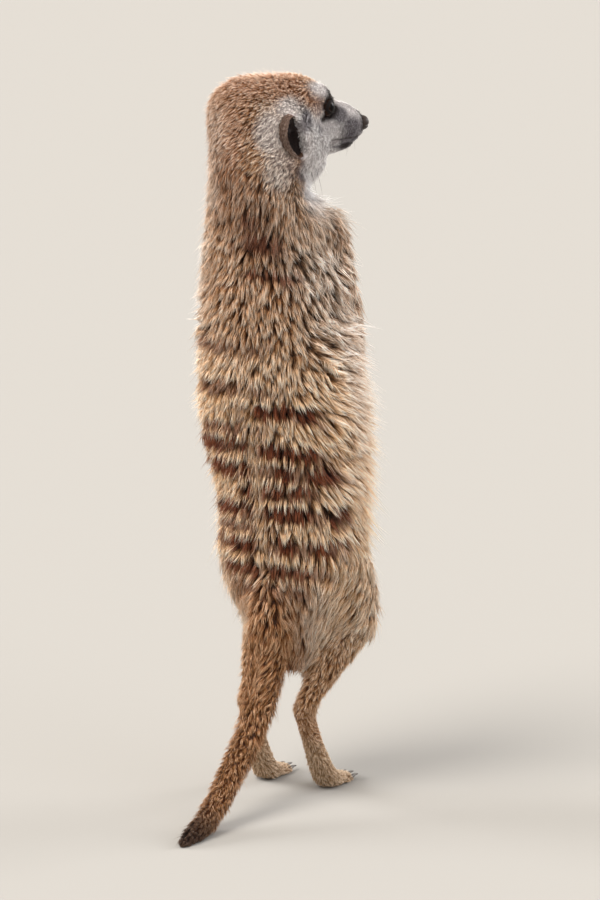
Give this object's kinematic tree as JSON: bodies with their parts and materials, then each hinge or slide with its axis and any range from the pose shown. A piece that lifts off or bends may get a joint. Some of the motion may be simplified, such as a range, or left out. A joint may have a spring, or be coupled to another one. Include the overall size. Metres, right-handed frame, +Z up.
{
  "type": "meerkat",
  "caption": "Still, life-size meerkat standing upright on its hind toes, propped by its tail, forearms hanging, head turned to its right.",
  "frame": {"origin": "middle of the footprint box, on the floor", "axes": "+Z up from the floor to the crown, -Y the way the body faces, +X the animal's left"},
  "size_m": [0.0768, 0.161, 0.3254],
  "materials": {
    "coat": "soft fur, tan with dark reddish-brown bars across the back",
    "dark_skin": "moist, finely pebbled nose skin",
    "eye": "wet gloss",
    "claw": "satin horn"
  },
  "bodies": {
    "root": {"belly": "coat", "chest": "coat", "claw_foot_left_1": "claw", "claw_foot_left_2": "claw", "claw_foot_left_3": "claw", "claw_foot_left_4": "claw", "claw_foot_right_1": "claw", "claw_foot_right_2": "claw", "claw_foot_right_3": "claw", "claw_foot_right_4": "claw", "claw_hand_left_1": "claw", "claw_hand_left_2": "claw", "claw_hand_left_3": "claw", "claw_hand_left_4": "claw", "claw_hand_right_1": "claw", "claw_hand_right_2": "claw", "claw_hand_right_3": "claw", "claw_hand_right_4": "claw", "ear_left": "coat", "ear_right": "coat", "eye_left": "eye", "eye_right": "eye", "foot_left": "coat", "foot_right": "coat", "forearm_left": "coat", "forearm_right": "coat", "hand_left": "coat", "hand_right": "coat", "head": "coat", "lower_jaw": "coat", "neck": "coat", "nose": "dark_skin", "shank_left": "coat", "shank_right": "coat", "tail_base": "coat", "tail_middle": "coat", "tail_tip": "coat", "thigh_left": "coat", "thigh_right": "coat", "upper_arm_left": "coat", "upper_arm_right": "coat"}
  },
  "joints": []
}
